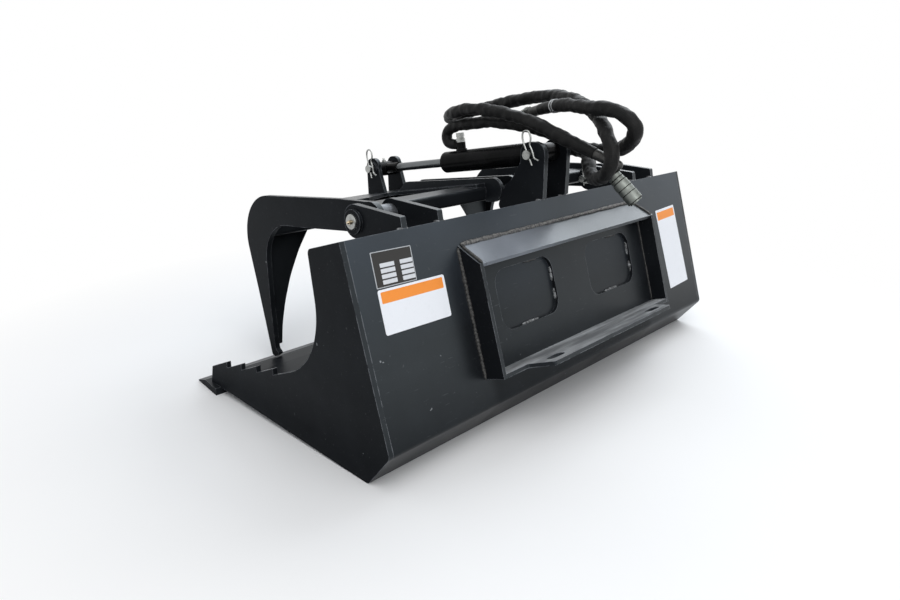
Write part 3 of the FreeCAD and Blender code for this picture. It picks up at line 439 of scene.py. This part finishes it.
SLEEVE_R = 0.0133
SLEEVE_STEP = 0.0025
ROD_HOSE = [
    (0, -324, 499), (0, -355, 495), (-2, -361, 529), (0, -312, 545), (2, -201, 557), (-5, -84, 546),
    (-16, 12, 509), (-15, 82, 512), (18, 133, 529), (44, 162, 565), (49, 119, 594), (37, 43, 594),
    (10, -40, 597), (-8, -95, 584),
]
BASE_HOSE = [
    (-68, -108, 491), (-72, -56, 503), (-60, -10, 500), (-34, 12, 482), (14, 54, 455), (63, 115, 475),
    (66, 129, 511), (48, 98, 554), (4, 47, 581), (-42, -36, 607), (-78, -123, 611), (-82, -217, 598),
    (-93, -312, 579), (-90, -383, 563), (-30, -386, 551), (16, -325, 573), (34, -229, 585),
    (28, -96, 566), (27, 5, 528), (24, 64, 508),
]


def sleeve_radius(seed, total):
    """Loose sleeve: slow swells, soft lumps and short creases, drawn in at both ends."""

    def radius(distance, angle):
        turn = Vector((math.cos(angle), math.sin(angle), 0))
        swell = noise.noise(Vector((distance * 14.0, seed, 0.3)))
        lump = noise.noise(turn * 0.8 + Vector((0, 0, distance * 30.0 + seed)))
        crease = noise.noise(turn * 1.1 + Vector((0, 0, distance * 78.0 + seed * 3)))
        ends = min(distance, total - distance)
        drawn = min(1.0, 0.86 + ends * 2.2)
        loose = min(1.0, ends / 0.06)
        return SLEEVE_R * drawn * (0.985 + loose * (0.08 * swell + 0.15 * lump + 0.13 * crease))

    return radius


def make_hose(name, points, seed, material):
    """Sleeve along a hose's route, in place of the plain hose. Gives its centre line."""
    route = route_points(name, [heel(*p) for p in points])
    line, total = resample(route, SLEEVE_STEP)
    mesh = tube_mesh(name + "_sleeve", line, sleeve_radius(seed, total), 28)
    obj = link(name + "_sleeve", mesh, "barrel", material)
    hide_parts(name)
    return line


def ring_piece(name, middle_low, middle_high, radius, sides, material):
    """Plain ring between two points on the barrel's body."""
    mesh = tube_mesh(name, [middle_low, middle_high], lambda distance, angle: radius, sides)
    link(name, mesh, "barrel", material)


BAND_HALF = 0.0012


def clamp_bands(line, back, material):
    """Two steel bands that close a sleeve, the first this many points before its end."""
    for index, place in enumerate((-back, -back - 3)):
        half = (line[place + 1] - line[place]).normalized() * BAND_HALF
        name = "sleeve_band_" + str(index)
        ring_piece(name, line[place] - half, line[place] + half, SLEEVE_R * 1.03, 32, material)


COUPLER_AT = (22, 106, 470)
COUPLER_AIM = Vector((-0.2, 0.69, -0.70)).normalized()
# From, to and radius in millimetres
COUPLER_GROOVES = ((7, 9, 12.1), (15, 17, 12.6), (31, 32.5, 14.4), (43, 44.5, 14.4), (62, 63.2, 15.65))
# Millimetres by which the rings of painted groove shade stand out from each groove's radius
SHADE_RING_LIFT = 0.12


def painted_groove_shade(material):
    """Black rings in the coupler's turned grooves: painted shade where the grooves fall dark."""
    start = heel(*COUPLER_AT)
    for index, (low, high, radius) in enumerate(COUPLER_GROOVES):
        name = "coupler_groove_" + str(index)
        foot = start + COUPLER_AIM * (low * MM)
        head = start + COUPLER_AIM * (high * MM)
        ring_piece(name, foot, head, (radius + SHADE_RING_LIFT) * MM, 36, material)


# Welds

BEAD_STEP = 0.0011


def bead(name, points, radius, seed, material):
    """Weld bead with overlapping ripples, laid along a line where two plates meet."""
    line, total = resample(points, BEAD_STEP)
    ripple = radius * 1.5

    def size(distance, angle):
        wave = abs(math.sin(math.pi * distance / ripple + 0.6 * math.sin(angle)))
        rough = noise.noise(Vector((distance * 110.0, math.cos(angle), seed)))
        rough += 0.9 * noise.noise(Vector((distance * 34.0, 0.2, seed * 2)))
        ends = min(distance, total - distance)
        close = min(1.0, 0.45 + ends / radius * 0.3)
        return radius * close * (0.80 + 0.22 * wave + 0.22 * rough)

    mesh = tube_mesh(name, line, size, 10)
    link(name, mesh, "bucket", material)


FRAME_BEAD_R = 0.0046
SMALL_BEAD_R = 0.0036
FRAME_TOP = 0.304
FRAME_FOOT = 0.054
SIDES = (("left", 1), ("right", -1))
WINDOW_X = 0.1505
WINDOW_S = 0.183
WINDOW_BEADS = (
    ("top", [(-0.052, 0.0588), (-0.010, 0.0588)]),
    ("bottom", [(-0.022, -0.0588), (0.030, -0.0588)]),
    ("near_high", [(-0.0893, 0.004), (-0.0893, 0.034)]),
    ("near_low", [(-0.0893, -0.036), (-0.0893, -0.012)]),
    ("far", [(0.0893, -0.020), (0.0893, 0.014)]),
)
EAR_FACES = (("outer", 0.416), ("inner", 0.329), ("bracket", 0.033))
EAR_WIDTH = 0.012


def make_welds(sand, brown, bright):
    """Beads round the frame, in its windows and at the feet of the ears and brackets."""
    for side, sign in SIDES:
        x = sign * 0.3092
        line = [on_back(x, FRAME_FOOT, 0.0005), on_back(x, FRAME_TOP - 0.004, 0.0005)]
        bead("weld_frame_side_" + side, line, FRAME_BEAD_R, 3.1 * sign, brown)
        inner = [on_back(sign * 0.3005, 0.0625, 0.0085), on_back(sign * 0.3005, 0.262, 0.0085)]
        bead("weld_frame_inner_" + side, inner, 0.0024, 1.3 * sign, brown)
        corner = [on_back(sign * 0.3015, 0.3035, 0.002), on_back(sign * 0.3015, 0.2665, 0.0455)]
        bead("weld_hook_end_" + side, corner, 0.0032, 7.7 * sign, brown)
    hook = [on_back(x, FRAME_TOP + 0.0006, 0.0006) for x in (-0.301, 0.301)]
    bead("weld_hook_top", hook, FRAME_BEAD_R, 5.2, sand)
    for side, sign in SIDES:
        for place, ends in WINDOW_BEADS:
            line = [on_back(sign * WINDOW_X + x, WINDOW_S + s, 0.0012) for x, s in ends]
            look = brown if place == "top" else bright
            bead("weld_window_" + side + "_" + place, line, SMALL_BEAD_R, 2.0 + len(place) * sign, look)
    top_edge = on_back(0, BACK_LENGTH)
    for side, sign in SIDES:
        for place, x0 in EAR_FACES:
            for face, x in (("a", x0), ("b", x0 + EAR_WIDTH)):
                start = top_edge + RIGHT * (sign * x) + OUT * 0.0005
                end = top_edge + RIGHT * (sign * x) - OUT * 0.0085
                down = end - UP * 0.055
                name = "weld_ear_" + side + "_" + place + "_" + face
                bead(name, [start, end, down], SMALL_BEAD_R, 4.0 * sign + x0, bright)


# Blank plates on the back

LABEL_THICK = 0.0004
LABEL_LAYER = 0.00012


def label(name, centre, width, height, corner, turn, bands):
    """Thin blank plate on the back made of coloured rectangles.

    Each band is (x0, x1, y0, y1, material), in shares of the plate's width and height.
    """
    body = bmesh.new()
    mats = []
    across = RIGHT * math.cos(turn) + UP * math.sin(turn)
    upward = UP * math.cos(turn) - RIGHT * math.sin(turn)
    for index, (x0, x1, y0, y1, material) in enumerate(bands):
        if material not in mats:
            mats.append(material)
        w = width * (x1 - x0)
        h = height * (y1 - y0)
        r = corner if index == 0 else min(corner * 0.5, w * 0.2, h * 0.2)
        cx = width * ((x0 + x1) / 2 - 0.5)
        cy = height * ((y0 + y1) / 2 - 0.5)
        off = LABEL_THICK + index * LABEL_LAYER
        ring = []
        for qx, qy, start in ((1, 1, 0), (-1, 1, 90), (-1, -1, 180), (1, -1, 270)):
            for step in range(7):
                angle = math.radians(start + step * 15)
                x = cx + qx * (w / 2 - r) + r * math.cos(angle)
                y = cy + qy * (h / 2 - r) + r * math.sin(angle)
                ring.append((x, y))
        upper = [body.verts.new(centre - across * x + upward * y + OUT * off) for x, y in ring]
        under = [body.verts.new(centre - across * x + upward * y) for x, y in ring]
        faces = [body.faces.new(upper), body.faces.new(list(reversed(under)))]
        for k in range(len(ring)):
            j = (k + 1) % len(ring)
            faces.append(body.faces.new((upper[k], under[k], under[j], upper[j])))
        for face in faces:
            face.material_index = mats.index(material)
    bmesh.ops.recalc_face_normals(body, faces=body.faces)
    mesh = bpy.data.meshes.new(name)
    body.to_mesh(mesh)
    body.free()
    link(name, mesh, "bucket", mats, smooth=False)


def make_labels():
    """Two white stickers with an orange band, and a dark plate with pale cells."""
    white = vinyl("label_white", (0.80, 0.82, 0.86))
    orange = vinyl("label_orange", (0.86, 0.27, 0.03))
    silver = vinyl("plate_silver", (0.42, 0.44, 0.46), 0.3)
    dark = vinyl("plate_dark", (0.014, 0.013, 0.012), 0.4)
    cell = vinyl("plate_cell", (0.62, 0.64, 0.67), 0.3)
    wide = [(0, 1, 0, 1, white), (0.035, 0.965, 0.69, 0.945, orange)]
    label("blank_label_left", on_back(0.4335, 0.2263), 0.1505, 0.0745, 0.004, math.radians(1.2), wide)
    plate = [(0, 1, 0, 1, silver), (0.02, 0.98, 0.025, 0.975, dark)]
    for left, right in ((0.17, 0.52), (0.66, 0.97)):
        for row in range(4):
            top = 0.66 - row * 0.155
            plate.append((left, right, top - 0.115, top, cell))
    label("blank_data_plate", on_back(0.4630, 0.2960), 0.0875, 0.0595, 0.0015, math.radians(1.6), plate)
    tall = [(0, 1, 0, 1, white), (0.05, 0.95, 0.87, 0.97, orange)]
    label("blank_label_right", on_back(-0.4596, 0.1680), 0.0963, 0.2023, 0.002, math.radians(-2.2), tall)


# Floor and light

AMBIENT = 0.5
FLOOR_HALF = 14.0
FLOOR_BLEND = (0.75, 1.4)


def make_floor():
    """Pale floor that keeps the shadow near the bucket and turns to the background's white further out."""
    mesh = bpy.data.meshes.new("floor")
    corners = [(x * FLOOR_HALF, y * FLOOR_HALF, 0) for x, y in ((-1, -1), (1, -1), (1, 1), (-1, 1))]
    mesh.from_pydata(corners, [], [(0, 1, 2, 3)])
    floor = bpy.data.objects.new("floor", mesh)
    scene.collection.objects.link(floor)
    n = Nodes("floor")
    grain = n.noise(2.0, 3.0, 0.5)
    n.join(n.mix(grain, (0.88, 0.88, 0.88), (0.92, 0.92, 0.92)), n.shader.inputs["Base Color"])
    n.shader.inputs["Roughness"].default_value = 0.9
    n.shader.inputs["Specular IOR Level"].default_value = 0.0
    length = n.add("ShaderNodeVectorMath", operation="LENGTH")
    n.join(n.coordinates.outputs["Object"], length.inputs[0])
    far = n.span(length.outputs["Value"], *FLOOR_BLEND)
    path = n.add("ShaderNodeLightPath")
    seen = n.math("MAXIMUM", path.outputs["Is Camera Ray"], path.outputs["Is Glossy Ray"])
    seen = n.math("MAXIMUM", seen, path.outputs["Is Transmission Ray"])
    white = n.add("ShaderNodeEmission")
    white.inputs["Color"].default_value = (1, 1, 1, 1)
    blend = n.add("ShaderNodeMixShader")
    n.join(n.math("MULTIPLY", far, seen), blend.inputs["Fac"])
    n.join(n.shader.outputs["BSDF"], blend.inputs[1])
    n.join(white.outputs["Emission"], blend.inputs[2])
    n.join(blend.outputs["Shader"], n.tree.nodes["Material Output"].inputs["Surface"])
    mesh.materials.append(n.material)


def make_world():
    """Soft sky light, with plain white for what the camera, metal and glass see."""
    world = bpy.data.worlds.new("world")
    scene.world = world
    world.use_nodes = True
    tree = world.node_tree
    background = tree.nodes["Background"]
    background.inputs["Color"].default_value = (0.93, 0.96, 1.0, 1.0)
    background.inputs["Strength"].default_value = AMBIENT
    white = tree.nodes.new("ShaderNodeBackground")
    white.inputs["Color"].default_value = (1, 1, 1, 1)
    white.inputs["Strength"].default_value = 1.0
    path = tree.nodes.new("ShaderNodeLightPath")
    mixed = tree.nodes.new("ShaderNodeMixShader")
    clear = tree.nodes.new("ShaderNodeMath")
    clear.operation = "MAXIMUM"
    either = tree.nodes.new("ShaderNodeMath")
    either.operation = "MAXIMUM"
    tree.links.new(path.outputs["Is Camera Ray"], clear.inputs[0])
    tree.links.new(path.outputs["Is Glossy Ray"], clear.inputs[1])
    tree.links.new(clear.outputs[0], either.inputs[0])
    tree.links.new(path.outputs["Is Transmission Ray"], either.inputs[1])
    tree.links.new(either.outputs[0], mixed.inputs["Fac"])
    tree.links.new(background.outputs[0], mixed.inputs[1])
    tree.links.new(white.outputs[0], mixed.inputs[2])
    tree.links.new(mixed.outputs[0], tree.nodes["World Output"].inputs["Surface"])


def lamp(name, toward, distance, size, radiance, colour=(1, 1, 1)):
    """Soft box seen from the middle of the bucket in a given direction, as bright as radiance."""
    middle = Vector((0, 0, 0.25))
    data = bpy.data.lights.new(name, "AREA")
    data.shape = "RECTANGLE"
    data.size = size[0]
    data.size_y = size[1]
    data.energy = radiance * math.pi * size[0] * size[1]
    data.color = colour
    obj = bpy.data.objects.new(name, data)
    scene.collection.objects.link(obj)
    obj.location = middle + Vector(toward).normalized() * distance
    obj.rotation_euler = (middle - obj.location).to_track_quat("-Z", "Y").to_euler()


def make_lights():
    lamp("sky_panel", (-0.733, -0.224, 0.643), 3.4, (3.4, 3.0), 2.6, (0.90, 0.95, 1.0))
    lamp("top_panel", (0.15, 0.35, 0.93), 3.4, (2.2, 2.2), 1.2)
    lamp("front_panel", (0.5, 0.75, 0.8), 3.6, (2.6, 2.6), 2.4)


# Put together

# Plates cut from flat steel
FLAT = (
    "side_plate_left", "side_plate_right", "tine_left", "tine_right", "cutting_edge",
    "pivot_ear_outer_left", "pivot_ear_inner_left", "pivot_ear_outer_right", "pivot_ear_inner_right",
    "tine_web_left", "tine_web_right", "mount_side_left", "mount_side_right",
    "clevis_ear_left", "clevis_ear_right", "base_bracket_left", "base_bracket_right",
    "pivot_boss_left", "pivot_boss_right",
)


def paint_nodes():
    """Material of every solid that stays, by its name first and else by its slot."""
    crimp = metal("crimp_steel", (0.07, 0.07, 0.068), 0.42, 90.0, (0.03, 0.03, 0.03), 0.5)
    flat = black_paint("black_paint_flat", 0.38, 0.035, 0.75, 0.6, low=0.12)
    looks = {
        "black_paint": black_paint("black_paint", 0.3, 0.12, 0.9, 0.7),
        "cylinder_paint": cylinder_paint(),
        "zinc_plate": metal("zinc_plate", (0.36, 0.37, 0.36), 0.28, 90.0, (0.06, 0.06, 0.055), 0.6),
        "chrome_rod": metal("chrome_rod", (0.15, 0.16, 0.165), 0.2, 30.0, dirt=0.3),
        "brass": metal("brass", (0.50, 0.42, 0.30), 0.30, 120.0),
        "coupler_steel": metal(
            "coupler_steel", (0.20, 0.215, 0.20), 0.5, 60.0, (0.08, 0.08, 0.075), 0.5,
        ),
    }
    special = {name: flat for name in FLAT}
    special["bucket_shell"] = black_paint("black_paint_back", 0.45, 0.1, 0.75, 0.5, painted_top_reflection=0.32, low=0.19)
    special["mount_panel"] = black_paint("black_paint_panel", 0.30, 0.1, 0.7, 0.45)
    special["mount_hook"] = black_paint(
        "black_paint_gloss", 0.5, 0.1, 1.6, 0.8, rough=(0.26, 0.38), painted_left_reflection=0.7,
    )
    special["mount_ledge"] = black_paint("black_paint_scuffed_and_lit", 0.3, 0.1, 1.0, 0.9, rubs_and_painted_light=0.9)
    tube = metal("worn_bushing", (0.16, 0.17, 0.185), 0.45, 40.0, (0.05, 0.05, 0.05), 0.5)
    special["rod_eye_nipple"] = looks["zinc_plate"]
    special.update({"pivot_tube_left": tube, "pivot_tube_right": tube})
    special.update({"rod_hose_crimp": crimp, "base_hose_crimp": crimp, "coupler_elbow": crimp})
    for part in frame["record"]["subparts"]:
        node = frame["nodes"][part["node"]]
        look = special.get(part["node"]) or looks.get(part["material_slot"])
        if look is None:
            continue
        for slot in node.material_slots:
            slot.material = look
        if not node.material_slots:
            node.data.materials.append(look)


make_camera()
sleeve = hose_sleeve()
rod_line = make_hose("rod_hose", ROD_HOSE, 1.7, sleeve)
clamp_bands(rod_line, 20, metal("band_steel", (0.30, 0.31, 0.32), 0.3, 90.0))
painted_groove_shade(metal("groove_painted_shade", (0.02, 0.02, 0.02), 0.6, 120.0))
make_hose("base_hose", BASE_HOSE, 8.3, sleeve)
paint_nodes()
make_welds(
    weld_metal("weld_sand", (0.035, 0.035, 0.035), (0.17, 0.165, 0.158)),
    weld_metal("weld_rough", (0.010, 0.010, 0.010), (0.050, 0.048, 0.045)),
    weld_metal("weld_bright", (0.030, 0.031, 0.033), (0.30, 0.31, 0.32)),
)
make_labels()
make_floor()
make_world()
make_lights()
scene.view_settings.view_transform = "Standard"
